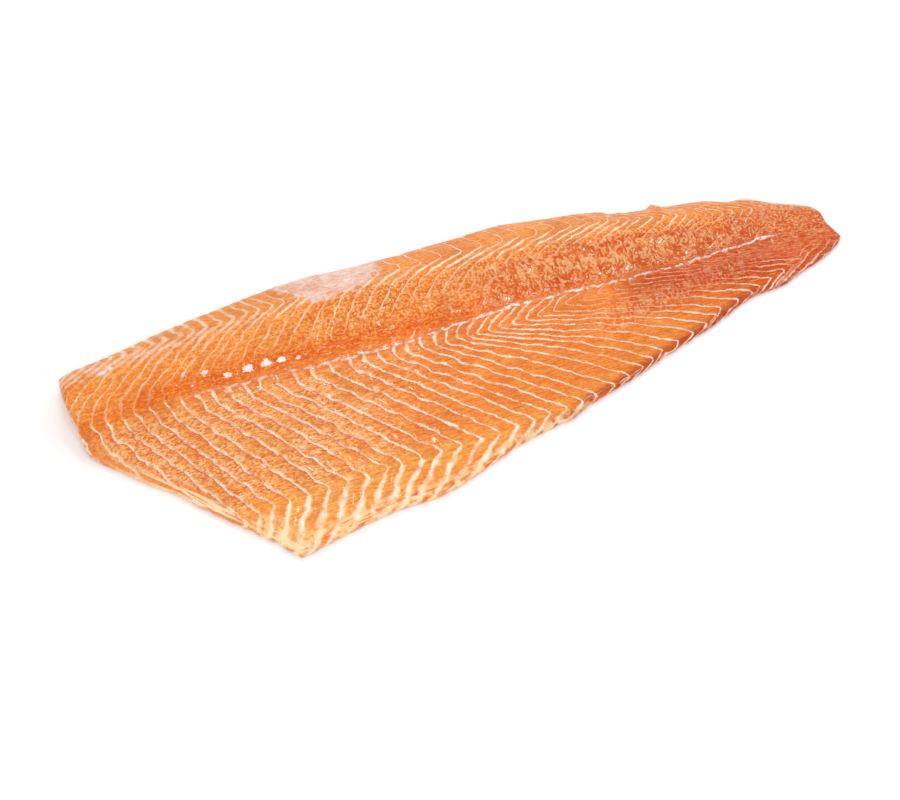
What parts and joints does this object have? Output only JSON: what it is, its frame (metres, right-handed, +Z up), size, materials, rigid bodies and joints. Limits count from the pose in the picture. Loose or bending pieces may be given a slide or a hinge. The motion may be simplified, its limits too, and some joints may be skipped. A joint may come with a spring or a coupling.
{
  "type": "salmon fillet",
  "caption": "Whole raw salmon side, skinless, flesh side up, with herringbone muscle bands, a thick loin, a thin belly flap and a slanting head cut.",
  "frame": {"origin": "middle of the fillet's bounding box, on the table", "axes": "+X from the head end to the tail, +Y from the belly edge to the back, +Z up out of the flesh side"},
  "size_m": [0.5458, 0.21, 0.0279],
  "materials": {
    "flesh": "moist satin"
  },
  "bodies": {
    "root": {"salmon_fillet": "flesh"}
  },
  "joints": []
}
